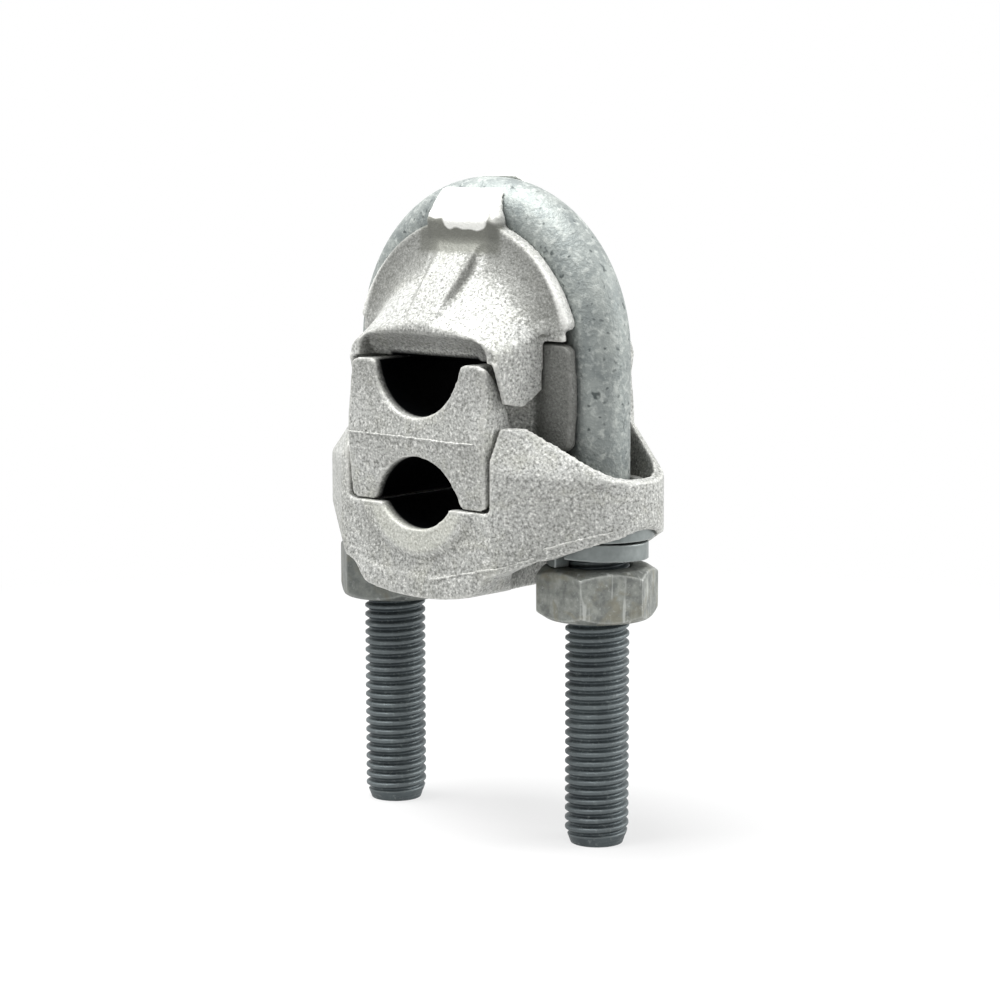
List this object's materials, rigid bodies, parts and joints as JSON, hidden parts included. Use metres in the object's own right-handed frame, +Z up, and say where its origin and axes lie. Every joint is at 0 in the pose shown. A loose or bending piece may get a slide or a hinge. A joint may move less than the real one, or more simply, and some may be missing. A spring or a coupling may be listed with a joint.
{
  "type": "parallel groove clamp",
  "caption": "Parallel groove clamp: a threaded U-bolt draws a saddle, a grooved spacer and a lower body together to grip two parallel overhead conductors.",
  "frame": {"origin": "on the ground midway between the two leg ends of the U-bolt", "axes": "+Z up along the legs, X across the two legs, Y along the conductor grooves with the front of the picture at -Y"},
  "size_m": [0.0642, 0.0366, 0.1036],
  "materials": {
    "cast_aluminium": "grainy, shot-blasted casting",
    "galvanised_steel": "hot-dip galvanised, mottled",
    "nut_steel": "galvanised, scratched",
    "washer_steel": "galvanised"
  },
  "bodies": {
    "bolt_and_saddle": {"u_bolt": "galvanised_steel", "upper_saddle": "cast_aluminium"},
    "spacer": {"middle_spacer": "cast_aluminium"},
    "lower_clamp": {"lower_body": "cast_aluminium", "flat_washer_left": "washer_steel", "flat_washer_right": "washer_steel", "spring_washer_left": "washer_steel", "spring_washer_right": "washer_steel"},
    "left_nut": {"hex_nut_left": "nut_steel"},
    "right_nut": {"hex_nut_right": "nut_steel"}
  },
  "joints": [
    {"name": "lower_clamp_slide", "type": "slide", "parent": "bolt_and_saddle", "child": "lower_clamp", "axis": [0, 0, -1], "range_m": [0, 0.03]},
    {"name": "spacer_slide", "type": "slide", "parent": "bolt_and_saddle", "child": "spacer", "axis": [0, 0, -1], "range_m": [0, 0.015]},
    {"name": "left_nut_turn", "type": "hinge", "parent": "lower_clamp", "child": "left_nut", "pos_m": [-0.0219, 0, 0.039], "axis": [0, 0, -1], "range_deg": [0, 7200]},
    {"name": "right_nut_turn", "type": "hinge", "parent": "lower_clamp", "child": "right_nut", "pos_m": [0.0219, 0, 0.0398], "axis": [0, 0, -1], "range_deg": [0, 7200]}
  ],
  "couplings": [
    {"joint": "spacer_slide", "follows": "lower_clamp_slide", "ratio": 0.5},
    {"joint": "left_nut_turn", "follows": "lower_clamp_slide", "rad_per_m": 4188.8},
    {"joint": "right_nut_turn", "follows": "lower_clamp_slide", "rad_per_m": 4188.8}
  ]
}
